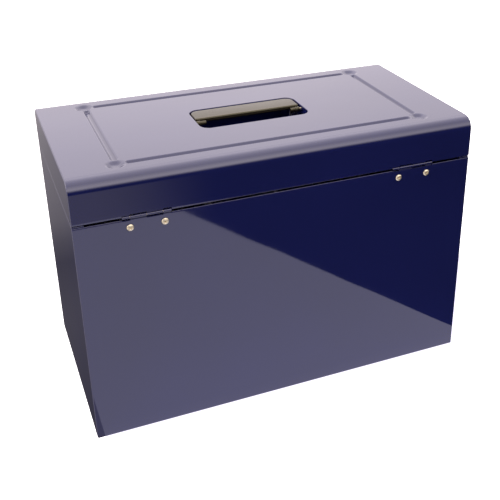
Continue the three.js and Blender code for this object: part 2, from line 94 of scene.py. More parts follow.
LID_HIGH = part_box("lid_wrapper")[1]
HALF_DEPTH = LID_HIGH.y
WRAP_HALF = LID_HIGH.x
TOP = LID_HIGH.z
LID_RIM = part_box("lid_end_left")[0].z
BODY_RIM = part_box("body_wrapper")[1].z
JOINTS = {joint["name"]: joint for joint in frame["joints"]}
HINGE = Vector(JOINTS["lid_hinge"]["pos_m"])
HANDLE_AXIS = Vector(JOINTS["handle_swing"]["pos_m"])
LOCK_AXIS = Vector(JOINTS["lock_turn"]["pos_m"])
LID_ROLL = 12 * MM
BASE_FOLD = 3 * MM


# ---- Materials ----

def new_material(name):
    made = bpy.data.materials.new(name)
    made.use_nodes = True
    nodes = made.node_tree.nodes
    return made, nodes, made.node_tree.links, nodes["Principled BSDF"]


def noise(nodes, links, vector, scale, detail=2.0, roughness=0.5):
    made = nodes.new("ShaderNodeTexNoise")
    made.inputs["Scale"].default_value = scale
    made.inputs["Detail"].default_value = detail
    made.inputs["Roughness"].default_value = roughness
    links.new(vector, made.inputs["Vector"])
    return made.outputs["Fac"]


def ramp(nodes, links, value, stops):
    made = nodes.new("ShaderNodeValToRGB")
    while len(made.color_ramp.elements) < len(stops):
        made.color_ramp.elements.new(0.5)
    for element, (place, colour) in zip(made.color_ramp.elements, stops):
        element.position = place
        element.color = (*colour, 1)
    links.new(value, made.inputs["Fac"])
    return made.outputs["Color"]


def grey(value):
    return (value, value, value)


def bump(nodes, links, height, strength, distance, normal=None):
    made = nodes.new("ShaderNodeBump")
    made.inputs["Strength"].default_value = strength
    made.inputs["Distance"].default_value = distance
    links.new(height, made.inputs["Height"])
    if normal is not None:
        links.new(normal, made.inputs["Normal"])
    return made.outputs["Normal"]


def enamel_material():
    """Stove enamel on sheet steel: deep navy, glossy, with orange peel and the sheet's slow waves."""
    made, nodes, links, shader = new_material("navy_enamel_paint")
    place = nodes.new("ShaderNodeTexCoord").outputs["Object"]
    dark, light = (0.0042, 0.0062, 0.045), (0.0050, 0.0072, 0.052)
    tint = noise(nodes, links, place, 9, 3)
    links.new(ramp(nodes, links, tint, [(0.3, dark), (0.7, light)]), shader.inputs["Base Color"])
    smear = noise(nodes, links, place, 26, 4, 0.6)
    gloss = ramp(nodes, links, smear, [(0.35, grey(0.03)), (0.75, grey(0.065))])
    links.new(gloss, shader.inputs["Roughness"])
    shader.inputs["IOR"].default_value = 1.52
    shader.inputs["Coat Weight"].default_value = 0.35
    shader.inputs["Coat Roughness"].default_value = 0.03
    waves = noise(nodes, links, place, 11, 1)
    peel = noise(nodes, links, place, 850, 1)
    slow = bump(nodes, links, waves, 0.35, 0.0011)
    links.new(bump(nodes, links, peel, 0.1, 0.00005, slow), shader.inputs["Normal"])
    return made


def steel_material(name, colour, roughness):
    """Bare metal with fine scratches."""
    made, nodes, links, shader = new_material(name)
    shader.inputs["Base Color"].default_value = (*colour, 1)
    shader.inputs["Metallic"].default_value = 1.0
    place = nodes.new("ShaderNodeTexCoord").outputs["Object"]
    grain = noise(nodes, links, place, 900, 3)
    links.new(ramp(nodes, links, grain, [(0.2, grey(roughness * 0.7)), (0.8, grey(roughness * 1.4))]),
              shader.inputs["Roughness"])
    links.new(bump(nodes, links, grain, 0.12, 0.00005), shader.inputs["Normal"])
    return made


def plastic_material(name, dark, light, roughness, grain_scale, grain_depth, sheen_colour=(1, 1, 1)):
    """Moulded plastic: slight colour drift, a fine moulded grain and handling marks in the gloss."""
    made, nodes, links, shader = new_material(name)
    place = nodes.new("ShaderNodeTexCoord").outputs["Object"]
    links.new(ramp(nodes, links, noise(nodes, links, place, 30, 3), [(0.3, dark), (0.7, light)]),
              shader.inputs["Base Color"])
    marks = noise(nodes, links, place, 120, 4, 0.65)
    links.new(ramp(nodes, links, marks, [(0.3, grey(roughness * 0.8)), (0.75, grey(roughness * 1.3))]),
              shader.inputs["Roughness"])
    shader.inputs["IOR"].default_value = 1.49
    shader.inputs["Specular Tint"].default_value = (*sheen_colour, 1)
    grain = noise(nodes, links, place, grain_scale, 2)
    links.new(bump(nodes, links, grain, 0.25, grain_depth), shader.inputs["Normal"])
    return made


MATERIALS = {
    "navy_enamel": enamel_material(),
    "bare_steel": steel_material("plain_steel", (0.70, 0.63, 0.46), 0.42),
    "lock_chrome": steel_material("polished_plating", (0.86, 0.86, 0.87), 0.07),
    "handle_plastic": plastic_material(
        "black_moulded_plastic", (0.009, 0.007, 0.003), (0.013, 0.010, 0.005), 0.22, 1400, 0.00003,
        (1, 0.95, 0.62)),
    "tray_plastic": plastic_material(
        "grey_moulded_plastic", (0.33, 0.35, 0.41), (0.37, 0.39, 0.45), 0.42, 1800, 0.00004),
    "divider_plastic": plastic_material(
        "white_sheet_plastic", (0.70, 0.71, 0.73), (0.76, 0.77, 0.79), 0.38, 1500, 0.00003),
}


# ---- Mesh helpers ----

def finish_piece(mesh_or_bm, name, body, slot, nodes, smooth_angle=35, bevel=0.0, bevel_angle=40):
    """Makes an object of the mesh, shades it, gives it its finish and lets it stand for CAD nodes."""
    is_bmesh = isinstance(mesh_or_bm, bmesh.types.BMesh)
    mesh = mesh_of(mesh_or_bm, name) if is_bmesh else mesh_or_bm
    piece = loose_object(mesh, name)
    mesh.materials.clear()
    mesh.materials.append(MATERIALS[slot])
    if bevel:
        edges = piece.modifiers.new("edges", "BEVEL")
        edges.width = bevel
        edges.segments = 2
        edges.limit_method = "ANGLE"
        edges.angle_limit = math.radians(bevel_angle)
        apply_modifiers(piece)
    piece.data.shade_smooth()
    piece.data.set_sharp_from_angle(angle=math.radians(smooth_angle))
    if bevel:
        weighted = piece.modifiers.new("normals", "WEIGHTED_NORMAL")
        weighted.keep_sharp = True
    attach(piece, body)
    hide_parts(*nodes)
    return piece


def apply_modifiers(piece):
    bpy.context.view_layer.update()
    depsgraph = bpy.context.evaluated_depsgraph_get()
    mesh = bpy.data.meshes.new_from_object(piece.evaluated_get(depsgraph))
    old = piece.data
    piece.modifiers.clear()
    piece.data = mesh
    bpy.data.meshes.remove(old)


def loose_object(data, name):
    made = bpy.data.objects.new(name, data)
    bpy.context.scene.collection.objects.link(made)
    return made


def mesh_of(bm, name="part", face_outward=True):
    if face_outward:
        bmesh.ops.recalc_face_normals(bm, faces=bm.faces)
    mesh = bpy.data.meshes.new(name)
    bm.to_mesh(mesh)
    bm.free()
    return mesh


def combined(first, others, operation):
    """The first mesh joined with, or cut by, the others."""
    base = loose_object(first, "boolean_base")
    tools = [loose_object(mesh, f"boolean_tool_{i}") for i, mesh in enumerate(others)]
    for tool in tools:
        step = base.modifiers.new("step", "BOOLEAN")
        step.object = tool
        step.operation = operation
        step.solver = "EXACT"
    apply_modifiers(base)
    mesh = base.data
    for made in [base, *tools]:
        bpy.data.objects.remove(made)
    return mesh


def sheet_mesh(mesh, even_corners=True):
    """A surface given the sheet's thickness, away from its outer face."""
    made = loose_object(mesh, "sheet")
    solidify = made.modifiers.new("thickness", "SOLIDIFY")
    solidify.thickness = SHEET
    solidify.offset = -1
    solidify.use_even_offset = True
    solidify.use_quality_normals = even_corners
    apply_modifiers(made)
    mesh = made.data
    bpy.data.objects.remove(made)
    return mesh


def arc(x, y, radius, start, end, steps):
    return [(x + radius * math.cos(start + (end - start) * i / steps),
             y + radius * math.sin(start + (end - start) * i / steps)) for i in range(steps + 1)]


def quarter_turn(steps):
    """Evenly spaced angles from 0 to a right angle."""
    return [QUARTER * i / steps for i in range(steps + 1)]


def rounded_rectangle(half_x, half_y, radius, steps=10):
    corners = [(1, 1), (-1, 1), (-1, -1), (1, -1)]
    points = []
    for i, (side_x, side_y) in enumerate(corners):
        centre = (side_x * (half_x - radius), side_y * (half_y - radius))
        points += arc(*centre, radius, i * QUARTER, (i + 1) * QUARTER, steps)
    return points


def skin(bm, loops, closed=True):
    """Quads between neighbouring loops of points. Returns the rows of vertices."""
    rows = [[bm.verts.new(point) for point in loop] for loop in loops]
    count = len(rows[0])
    for low, high in zip(rows, rows[1:]):
        for i in range(count if closed else count - 1):
            j = (i + 1) % count
            bm.faces.new((low[i], low[j], high[j], high[i]))
    return rows


def tub(half_x, half_y, radius, profile, centre=(0, 0)):
    """A rounded-rectangle vessel. The profile is (outset, z) from the underside's middle to the floor's."""
    least_radius = 0.4 * MM
    bm = bmesh.new()
    loops = []
    for outset, z in profile:
        outline = rounded_rectangle(half_x + outset, half_y + outset, max(radius + outset, least_radius))
        loops.append([(centre[0] + x, centre[1] + y, z) for x, y in outline])
    rows = skin(bm, loops)
    bm.faces.new(rows[0])
    bm.faces.new(rows[-1])
    return bm


def turned(profile, centre, axis="Y", sides=48, is_ring=False):
    """A turned piece from (radius, along) pairs, about a line through centre along the axis. A ring's
    profile closes on itself, and any other piece has a flat face at each end."""
    bm = bmesh.new()
    loops = []
    for radius, along in profile:
        loop = []
        for i in range(sides):
            angle = 2 * math.pi * i / sides
            a, b = radius * math.cos(angle), radius * math.sin(angle)
            offset = {"X": (along, a, b), "Y": (b, along, a), "Z": (a, b, along)}[axis]
            loop.append(Vector(centre) + Vector(offset))
        loops.append(loop)
    rows = skin(bm, loops)
    if not is_ring:
        bm.faces.new(rows[0])
        bm.faces.new(rows[-1])
        return bm
    for i in range(sides):
        j = (i + 1) % sides
        bm.faces.new((rows[-1][i], rows[-1][j], rows[0][j], rows[0][i]))
    return bm


def in_metres(pairs, sign=1):
    """A profile that is written in millimetres, in metres. The sign turns it end for end."""
    return [(radius * MM, sign * along * MM) for radius, along in pairs]


def box_mesh(low, high):
    bm = bmesh.new()
    bmesh.ops.create_cube(bm, size=1)
    middle = (Vector(low) + Vector(high)) / 2
    span = Vector(high) - Vector(low)
    for vert in bm.verts:
        vert.co = middle + Vector(v * s for v, s in zip(vert.co, span))
    return mesh_of(bm)


def refined(node, slot, bevel, bevel_angle=40):
    """The CAD node's own shape with its flat faces made whole and its edges broken."""
    bm = bmesh.new()
    bm.from_mesh(frame["nodes"][node].data)
    bmesh.ops.remove_doubles(bm, verts=bm.verts, dist=0.002 * MM)
    bmesh.ops.dissolve_limit(bm, angle_limit=math.radians(1), verts=bm.verts, edges=bm.edges)
    body = frame["nodes"][node]["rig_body"]
    return finish_piece(bm, f"{node}_shape", body, slot, [node], bevel=bevel, bevel_angle=bevel_angle)


# ---- Sheet grids ----

def spaced(start, end, step):
    count = max(1, round((end - start) / step))
    return [start + (end - start) * i / count for i in range(count + 1)]


def merged_stations(*groups):
    """Sorted places along a grid, with any two closer than a tenth of a millimetre made one."""
    places = []
    for place in sorted(p for group in groups for p in group):
        if not places or place - places[-1] > 0.1 * MM:
            places.append(place)
    return places


# ---- Hinge layout ----

LEAF_BOXES = [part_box(f"hinge_body_leaf_{side}") for side in ("left", "right")]
HINGE_CENTRES = [(low.x + high.x) / 2 for low, high in LEAF_BOXES]
# Each knuckle's owner and its width in millimetres, from the high end of the hinge.
KNUCKLES = [("lid", 7), ("body", 14.4), ("lid", 14.4), ("body", 7.3)]
HINGE_HALF = 22 * MM
OWN_NOTCH = 2.4 * MM
OTHER_NOTCH = 3.0 * MM
HEM = 0.55 * MM
HEM_STEPS = 5
LID_REAR_RIM = HINGE.z + 0.7 * MM
BODY_REAR_RIM = HINGE.z - 1.5 * MM
PAST_NOTCHES = 6 * MM


def knuckle_spans():
    high = HINGE_HALF
    for owner, width in KNUCKLES:
        yield owner, high - width * MM, high
        high -= width * MM + GAP


def notch_cells(owner):
    """(low x, high x, depth from the axis) of every notch in that owner's rear wall."""
    cells = []
    for centre in HINGE_CENTRES:
        for of_leaf, low, high in knuckle_spans():
            depth = OWN_NOTCH if of_leaf == owner else OTHER_NOTCH
            cells.append((centre + low - GAP / 2, centre + high + GAP / 2, depth))
    return cells


# ---- Lid shell ----

GROOVE_FLOOR_HALF = 0.5 * MM
GROOVE_HALF = 3.9 * MM
GROOVE_DEPTH = 2.4 * MM
# Each groove's (half length, distance from the lid's middle).
LONG_GROOVE = (139 * MM, 76 * MM)
SHORT_GROOVE = (65 * MM, 150 * MM)
# The dimple in one corner of the lid. The other three mirror it.
DIMPLE = Vector((151 * MM, 77 * MM))
DIMPLE_FLOOR_RADIUS = 2.5 * MM
DIMPLE_RADIUS = 9.6 * MM
DIMPLE_DEPTH = 3 * MM
RECESS_HALF_X, RECESS_HALF_Y, RECESS_CORNER = 56.6 * MM, 26.5 * MM, 10 * MM
RECESS_MARGIN = 8 * MM
RIM_ROLL = 0.7 * MM
RIM_SKIRT = 2.5 * MM
# The flat ring round the rolled rim, from its outside to its inside.
RIM_FLAT_OUT, RIM_FLAT_IN = 0.7 * MM, 0.25 * MM
# The lid's grid is finer across the grooves and dimples, and at the grooves' ends: (middle, half, step).
FINE_X = [(155 * MM, 14.5 * MM, 0.55 * MM), (138 * MM, 5 * MM, 0.7 * MM)]
FINE_Y = [(77 * MM, 12 * MM, 0.55 * MM), (62 * MM, 4 * MM, 0.7 * MM)]
LID_STEP_X, LID_STEP_Y, SKIRT_STEP = 9 * MM, 8 * MM, 4 * MM
ROLL_STEPS = 14
SAME_PLACE, SAME_HEIGHT = 1e-6, 1e-7


def smooth_fall(distance, inner, outer):
    """1 within inner, 0 beyond outer, and a smooth curve between."""
    t = min(max((distance - inner) / (outer - inner), 0), 1)
    return 1 - t * t * (3 - 2 * t)


def groove_fall(along, across, half):
    beyond = max(abs(along) - half, 0)
    return smooth_fall(math.hypot(beyond, across), GROOVE_FLOOR_HALF, GROOVE_HALF)


def pressed_depth(x, y):
    """How far the lid's top is pressed down at a point."""
    ax, ay = abs(x), abs(y)
    long_one = groove_fall(x, ay - LONG_GROOVE[1], LONG_GROOVE[0])
    short_one = groove_fall(y, ax - SHORT_GROOVE[1], SHORT_GROOVE[0])
    bowl = smooth_fall((Vector((ax, ay)) - DIMPLE).length, DIMPLE_FLOOR_RADIUS, DIMPLE_RADIUS)
    return max(GROOVE_DEPTH * long_one, GROOVE_DEPTH * short_one, DIMPLE_DEPTH * bowl)


def fine_places(stretches):
    """Closely spaced places round each stretch's middle, on both sides of the lid's centre."""
    return [spaced(side * middle - half, side * middle + half, step)
            for middle, half, step in stretches for side in (-1, 1)]


def lid_section():
    """The lid wrapper's outside from the front rim over the top to the hemmed rear rim, as (y, z)."""
    flat_half = HALF_DEPTH - LID_ROLL
    roll_centre_z = TOP - LID_ROLL
    patch_y = RECESS_HALF_Y + RECESS_MARGIN
    flat = merged_stations(spaced(-flat_half, flat_half, LID_STEP_Y), (-patch_y, patch_y),
                           *fine_places(FINE_Y))
    rear_rows = merged_stations([LID_REAR_RIM, HINGE.z + OWN_NOTCH, HINGE.z + OTHER_NOTCH],
                                spaced(HINGE.z + PAST_NOTCHES, roll_centre_z, SKIRT_STEP)[:-1])
    section = [(-HALF_DEPTH, z) for z in spaced(LID_RIM, roll_centre_z, SKIRT_STEP)[:-1]]
    section += arc(-flat_half, roll_centre_z, LID_ROLL, math.pi, QUARTER, ROLL_STEPS)
    section += [(y, TOP) for y in flat[1:-1]]
    section += arc(flat_half, roll_centre_z, LID_ROLL, QUARTER, 0, ROLL_STEPS)
    section += [(HALF_DEPTH, z) for z in reversed(rear_rows[1:])]
    return section + arc(HALF_DEPTH - HEM, LID_REAR_RIM + HEM, HEM, 0, -QUARTER, HEM_STEPS)


def add_recess_rim(bm, patch_x, patch_y):
    """Rolls the recess's rim down into a short skirt, and joins it to the gap left in the lid's top."""
    rim_profile = [(RIM_ROLL + RIM_FLAT_OUT, 0), (RIM_ROLL + RIM_FLAT_IN, 0)]
    rim_profile += [(RIM_ROLL - RIM_ROLL * math.sin(a), RIM_ROLL * (1 - math.cos(a)))
                    for a in quarter_turn(6)]
    rim_profile.append((0, RIM_SKIRT))
    loops = []
    for out, depth in rim_profile:
        outline = rounded_rectangle(RECESS_HALF_X + out, RECESS_HALF_Y + out, RECESS_CORNER + out)
        loops.append([(x, y, TOP - depth) for x, y in outline])
    skin(bm, loops)

    def round_patch(vert):
        x, y, z = vert.co
        return (abs(x) < patch_x + SAME_PLACE and abs(y) < patch_y + SAME_PLACE
                and abs(z - TOP) < SAME_HEIGHT)

    border = [edge for edge in bm.edges if edge.is_boundary and all(round_patch(v) for v in edge.verts)]
    bmesh.ops.triangle_fill(bm, edges=border, use_beauty=True)


def lid_shell():
    patch_x, patch_y = RECESS_HALF_X + RECESS_MARGIN, RECESS_HALF_Y + RECESS_MARGIN
    notches = notch_cells("lid")
    x_places = merged_stations(
        spaced(-WRAP_HALF, WRAP_HALF, LID_STEP_X), (-patch_x, patch_x),
        [x for low, high, _ in notches for x in (low, high)], *fine_places(FINE_X))
    section = lid_section()
    bm = bmesh.new()
    rows = []
    for y, z in section:
        is_flat = abs(z - TOP) < SAME_HEIGHT
        rows.append([bm.verts.new((x, y, z - (pressed_depth(x, y) if is_flat else 0))) for x in x_places])
    for (y0, z0), (y1, z1), low, high in zip(section, section[1:], rows, rows[1:]):
        y_mid, z_mid = (y0 + y1) / 2, (z0 + z1) / 2
        on_top = abs(z_mid - TOP) < SAME_HEIGHT
        for i in range(len(x_places) - 1):
            x_mid = (x_places[i] + x_places[i + 1]) / 2
            if on_top and abs(x_mid) < patch_x and abs(y_mid) < patch_y:
                continue
            in_notch = any(a < x_mid < b and z_mid < HINGE.z + depth for a, b, depth in notches)
            if y_mid > HALF_DEPTH - HEM and in_notch:
                continue
            bm.faces.new((low[i], low[i + 1], high[i + 1], high[i]))
    bmesh.ops.delete(bm, geom=[v for v in bm.verts if not v.link_faces], context="VERTS")
    add_recess_rim(bm, patch_x, patch_y)
    return sheet_mesh(mesh_of(bm))


def make_lid():
    finish_piece(lid_shell(), "lid_shell", "lid", "navy_enamel", ["lid_wrapper"], smooth_angle=50)


# ---- Body shell ----

BODY_STEP = 12 * MM
BASE_FOLD_STEPS = 8


def body_shell():
    notches = notch_cells("body")
    x_places = merged_stations(spaced(-WRAP_HALF, WRAP_HALF, BODY_STEP),
                               [x for low, high, _ in notches for x in (low, high)])
    rear_rows = merged_stations([BODY_REAR_RIM, HINGE.z - OWN_NOTCH, HINGE.z - OTHER_NOTCH],
                                spaced(BASE_FOLD, HINGE.z - PAST_NOTCHES, BODY_STEP)[1:])
    flat_half = HALF_DEPTH - BASE_FOLD
    section = [(-HALF_DEPTH, z) for z in reversed(spaced(BASE_FOLD, BODY_RIM, BODY_STEP)[1:])]
    section += arc(-flat_half, BASE_FOLD, BASE_FOLD, math.pi, 1.5 * math.pi, BASE_FOLD_STEPS)
    section += [(y, 0) for y in spaced(-flat_half, flat_half, BODY_STEP)[1:-1]]
    section += arc(flat_half, BASE_FOLD, BASE_FOLD, -QUARTER, 0, BASE_FOLD_STEPS)
    section += [(HALF_DEPTH, z) for z in rear_rows[:-1]]
    section += arc(HALF_DEPTH - HEM, BODY_REAR_RIM - HEM, HEM, 0, QUARTER, HEM_STEPS)[1:]
    bm = bmesh.new()
    rows = [[bm.verts.new((x, y, z)) for x in x_places] for y, z in section]
    for (y0, z0), (_, z1), low, high in zip(section, section[1:], rows, rows[1:]):
        z_mid = (z0 + z1) / 2
        for i in range(len(x_places) - 1):
            x_mid = (x_places[i] + x_places[i + 1]) / 2
            in_notch = any(a < x_mid < b and z_mid > HINGE.z - depth for a, b, depth in notches)
            if y0 > 0 and in_notch:
                continue
            bm.faces.new((low[i], high[i], high[i + 1], low[i + 1]))
    bmesh.ops.delete(bm, geom=[v for v in bm.verts if not v.link_faces], context="VERTS")
    return sheet_mesh(mesh_of(bm))


PAN_FOLD = 1.1 * MM
PAN_FLANGE_END = 3 * MM
PAN_FACE_INSET = 0.6 * MM
PAN_EDGE = 0.3 * MM


def end_pan(node, radius, base_z, rim_z, up):
    """A flanged end panel. Its outline is a trough that opens at rim_z. up is -1 if it opens downwards."""
    low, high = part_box(node)
    side = 1 if high.x > 0 else -1
    half = high.y
    face = max(abs(low.x), abs(high.x))
    inner = min(abs(low.x), abs(high.x))
    # The outline's points, each with the direction into the panel.
    outline = [(-half, rim_z, 1, 0)]
    for centre_y, start in ((-half + radius, math.pi), (half - radius, 1.5 * math.pi)):
        for turn in quarter_turn(8):
            angle = start + turn
            y = centre_y + radius * math.cos(angle)
            z = base_z + up * (radius + radius * math.sin(angle))
            outline.append((y, z, -math.cos(angle), -up * math.sin(angle)))
    outline.append((half, rim_z, -1, 0))
    profile = [(0, inner), (0, face - PAN_FOLD - PAN_FLANGE_END)]
    profile += [(PAN_FOLD - PAN_FOLD * math.cos(a), face - PAN_FOLD + PAN_FOLD * math.sin(a))
                for a in quarter_turn(6)]
    profile.append((PAN_FOLD + PAN_FACE_INSET, face))
    bm = bmesh.new()
    loops = [[(side * x, y + inset * ny, z + inset * nz) for y, z, ny, nz in outline]
             for inset, x in profile]
    rows = skin(bm, loops, closed=False)
    bm.faces.new(rows[-1])
    bmesh.ops.recalc_face_normals(bm, faces=bm.faces)
    plate = max(bm.faces, key=lambda polygon: polygon.calc_area())
    if plate.normal.x * side < 0:
        bmesh.ops.reverse_faces(bm, faces=bm.faces)
    mesh = sheet_mesh(mesh_of(bm, face_outward=False), even_corners=False)
    body = frame["nodes"][node]["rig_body"]
    return finish_piece(mesh, f"{node}_panel", body, "navy_enamel", [node], smooth_angle=50, bevel=PAN_EDGE)


def make_body():
    finish_piece(body_shell(), "body_shell", "body", "navy_enamel", ["body_wrapper"], smooth_angle=50)
    for side in ("left", "right"):
        low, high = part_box(f"body_end_{side}")
        end_pan(f"body_end_{side}", BASE_FOLD - low.z, low.z, high.z, 1)
        low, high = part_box(f"lid_end_{side}")
        end_pan(f"lid_end_{side}", LID_ROLL - (TOP - high.z), high.z, low.z, -1)
    for level in ("upper", "lower"):
        for side in ("front", "rear"):
            refined(f"{level}_rail_{side}", "navy_enamel", 0.3 * MM)
    refined("lock_keeper", "bare_steel", 0.3 * MM)


# ---- Hinges and rivets ----

LEAF_SHEET = 1.0 * MM
KNUCKLE_RADIUS, KNUCKLE_EDGE, PIN_BORE = 1.4 * MM, 0.1 * MM, 1.1 * MM
# How far from the hinge's axis the leaf's plate starts, and the knuckles' tabs end.
PLATE_START, TAB_END = 2.7 * MM, 3.7 * MM
BORE_OVERRUN = 1 * MM


def hinge_leaf(owner, side):
    node = f"hinge_{owner}_leaf_{side}"
    low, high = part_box(node)
    centre = (low.x + high.x) / 2
    sign = 1 if owner == "lid" else -1
    outside = HALF_DEPTH - SHEET - GAP
    inside = outside - LEAF_SHEET
    far_end = high.z if owner == "lid" else low.z
    low_z, high_z = sorted((far_end, HINGE.z + sign * PLATE_START))
    plate = box_mesh((low.x, inside, low_z), (high.x, outside, high_z))
    tab_low, tab_high = sorted((HINGE.z, HINGE.z + sign * TAB_END))
    parts = []
    for of_leaf, start, end in knuckle_spans():
        if of_leaf != owner:
            continue
        barrel = [(KNUCKLE_RADIUS - KNUCKLE_EDGE, start), (KNUCKLE_RADIUS, start + KNUCKLE_EDGE),
                  (KNUCKLE_RADIUS, end - KNUCKLE_EDGE), (KNUCKLE_RADIUS - KNUCKLE_EDGE, end)]
        parts.append(mesh_of(turned(barrel, (centre, HINGE.y, HINGE.z), "X", 40)))
        parts.append(box_mesh((centre + start, inside, tab_low), (centre + end, outside, tab_high)))
    whole = combined(plate, parts, "UNION")
    bore = [(PIN_BORE, low.x - BORE_OVERRUN), (PIN_BORE, high.x + BORE_OVERRUN)]
    bore = mesh_of(turned(bore, (0, HINGE.y, HINGE.z), "X", 40))
    whole = combined(whole, [bore], "DIFFERENCE")
    finish_piece(whole, f"{node}_rolled", owner, "navy_enamel", [node], smooth_angle=40)


def make_hinges():
    for side in ("left", "right"):
        hinge_leaf("body", side)
        hinge_leaf("lid", side)
        low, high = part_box(f"hinge_pin_{side}")
        length = high.x - low.x
        pin = turned([(0.2 * MM, 0), (0.8 * MM, 0.05 * MM), (1 * MM, 0.3 * MM),
                      (1 * MM, length - 0.3 * MM), (0.8 * MM, length - 0.05 * MM), (0.2 * MM, length)],
                     (low.x, HINGE.y, HINGE.z), "X", 24)
        finish_piece(pin, f"hinge_pin_{side}_wire", "body", "bare_steel", [f"hinge_pin_{side}"])
        for end in ("a", "b"):
            node = f"rivet_{side}_{end}"
            low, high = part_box(node)
            middle = (low + high) / 2
            make_rivet(node, middle.x, middle.z)


def make_rivet(node, x, z):
    """A blind rivet: a domed flange with the mandrel's hole in its middle, a shank and a rolled tail."""
    head = [(3.2, 0.3), (3.22, 0.5), (3.1, 0.75), (2.75, 1.05), (2.2, 1.32), (1.7, 1.47), (1.35, 1.5),
            (1.15, 1.42), (1.05, 1.2), (1.0, 0.2), (0.3, 0.1)]
    tail = [(0.3, -4.6), (1.5, -4.6), (2.2, -4.35), (2.6, -3.7), (2.5, -2.9), (2.0, -2.4), (1.55, -2.4),
            (1.55, 0.3)]
    bm = turned(in_metres(tail + head), (x, HALF_DEPTH, z), "Y", 48)
    finish_piece(bm, f"{node}_set", "body", "bare_steel", [node], smooth_angle=50)


# ---- Handle and recess ----

HANDLE_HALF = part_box("handle_grip")[1].x
HANDLE_FREE_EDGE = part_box("handle_grip")[0].y
HANDLE_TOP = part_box("handle_grip")[1].z
HANDLE_PIVOT_EDGE = HANDLE_AXIS.y - 1.8 * MM
HANDLE_LOW = HANDLE_AXIS.z - 0.3 * MM
HANDLE_EDGE = 1.5 * MM
FREE_CORNER, PIVOT_CORNER = 8 * MM, 1.6 * MM
HUB_RADIUS, HUB_WIDTH, HUB_EDGE = 2.5 * MM, 5 * MM, 0.8 * MM
COLLAR_RADIUS, COLLAR_START, COLLAR_END = 2.1 * MM, 4 * MM, 10 * MM
HANDLE_BORE, HANDLE_BORE_DEPTH = 1.8 * MM, 8 * MM
BEAD_HALF, BEAD_RADIUS, BEAD_FROM_AXIS = 46 * MM, 3 * MM, 21.5 * MM
CLEAR = 0.02 * MM


def make_handle_cup():
    refined("handle_cup", "navy_enamel", 0.35 * MM, 40)


def slab(outline, low_z, high_z, edge):
    """An upright slab with a rounded top and bottom edge, from an outline function of the inset."""
    angles = quarter_turn(5)
    profile = [(edge - edge * math.sin(a), low_z + edge - edge * math.cos(a)) for a in angles]
    profile += [(edge - edge * math.cos(a), high_z - edge + edge * math.sin(a)) for a in angles]
    bm = bmesh.new()
    rows = skin(bm, [[(x, y, z) for x, y in outline(inset)] for inset, z in profile])
    bm.faces.new(rows[0])
    bm.faces.new(rows[-1])
    return mesh_of(bm)


def handle_outline(inset):
    """The folded handle from above, drawn in by the inset."""
    least_radius = 0.05 * MM
    pivot_y = HANDLE_PIVOT_EDGE - PIVOT_CORNER
    free_y = HANDLE_FREE_EDGE + FREE_CORNER
    points = []
    for centre_x, centre_y, radius, start in (
            (HANDLE_HALF - PIVOT_CORNER, pivot_y, PIVOT_CORNER, 0),
            (-HANDLE_HALF + PIVOT_CORNER, pivot_y, PIVOT_CORNER, QUARTER),
            (-HANDLE_HALF + FREE_CORNER, free_y, FREE_CORNER, 2 * QUARTER),
            (HANDLE_HALF - FREE_CORNER, free_y, FREE_CORNER, 3 * QUARTER)):
        points += arc(centre_x, centre_y, max(radius - inset, least_radius), start, start + QUARTER, 10)
    return points


def handle_hub(side):
    """The barrel at one end of the handle and the thinner collar that joins it to the grip."""
    start, end = sorted((side * HANDLE_HALF, side * (HANDLE_HALF - HUB_WIDTH)))
    rounded = HUB_RADIUS - 0.25 * HUB_EDGE
    barrel = [(HUB_RADIUS - HUB_EDGE, start), (rounded, start + 0.2 * HUB_EDGE),
              (HUB_RADIUS, start + HUB_EDGE), (HUB_RADIUS, end - HUB_EDGE),
              (rounded, end - 0.2 * HUB_EDGE), (HUB_RADIUS - HUB_EDGE, end)]
    start, end = sorted((side * (HANDLE_HALF - COLLAR_START), side * (HANDLE_HALF - COLLAR_END)))
    collar = [(COLLAR_RADIUS, start), (COLLAR_RADIUS, end)]
    on_axis = (0, HANDLE_AXIS.y, HANDLE_AXIS.z)
    return [mesh_of(turned(profile, on_axis, "X", 48)) for profile in (barrel, collar)]


def handle_bead():
    """The rounded bead that thickens the grip near its free edge."""
    half_bead = [(BEAD_RADIUS * math.sin(a) + CLEAR, -BEAD_HALF + BEAD_RADIUS * (1 - math.cos(a)))
                 for a in quarter_turn(6)]
    bead = half_bead + [(radius, -along) for radius, along in reversed(half_bead)]
    centre = (0, HANDLE_AXIS.y - BEAD_FROM_AXIS, HANDLE_TOP - BEAD_RADIUS - CLEAR)
    return mesh_of(turned(bead, centre, "X", 32))


def handle_bore(side):
    start, end = sorted((side * (HANDLE_HALF - HANDLE_BORE_DEPTH), side * (HANDLE_HALF + BORE_OVERRUN)))
    bore = turned([(HANDLE_BORE, start), (HANDLE_BORE, end)], (0, HANDLE_AXIS.y, HANDLE_AXIS.z), "X", 32)
    return mesh_of(bore)


def make_handle():
    plate = slab(handle_outline, HANDLE_LOW, HANDLE_TOP, HANDLE_EDGE)
    whole = combined(plate, [*handle_hub(-1), *handle_hub(1), handle_bead()], "UNION")
    whole = combined(whole, [handle_bore(-1), handle_bore(1)], "DIFFERENCE")
    finish_piece(whole, "handle_moulding", "handle", "handle_plastic", ["handle_grip"], smooth_angle=40)
    for side in ("left", "right"):
        refined(f"handle_pin_{side}", "bare_steel", 0.2 * MM, 60)


# ---- Lock ----

LOCK_CENTRE = (0, -HALF_DEPTH, LOCK_AXIS.z)
LOCK_SIDES = 64


def lock_box(low, high):
    """A box round the lock's axis, from corners in millimetres: (x, depth behind the lid's face, z)."""
    return box_mesh(*(Vector(LOCK_CENTRE) + Vector(corner) * MM for corner in (low, high)))


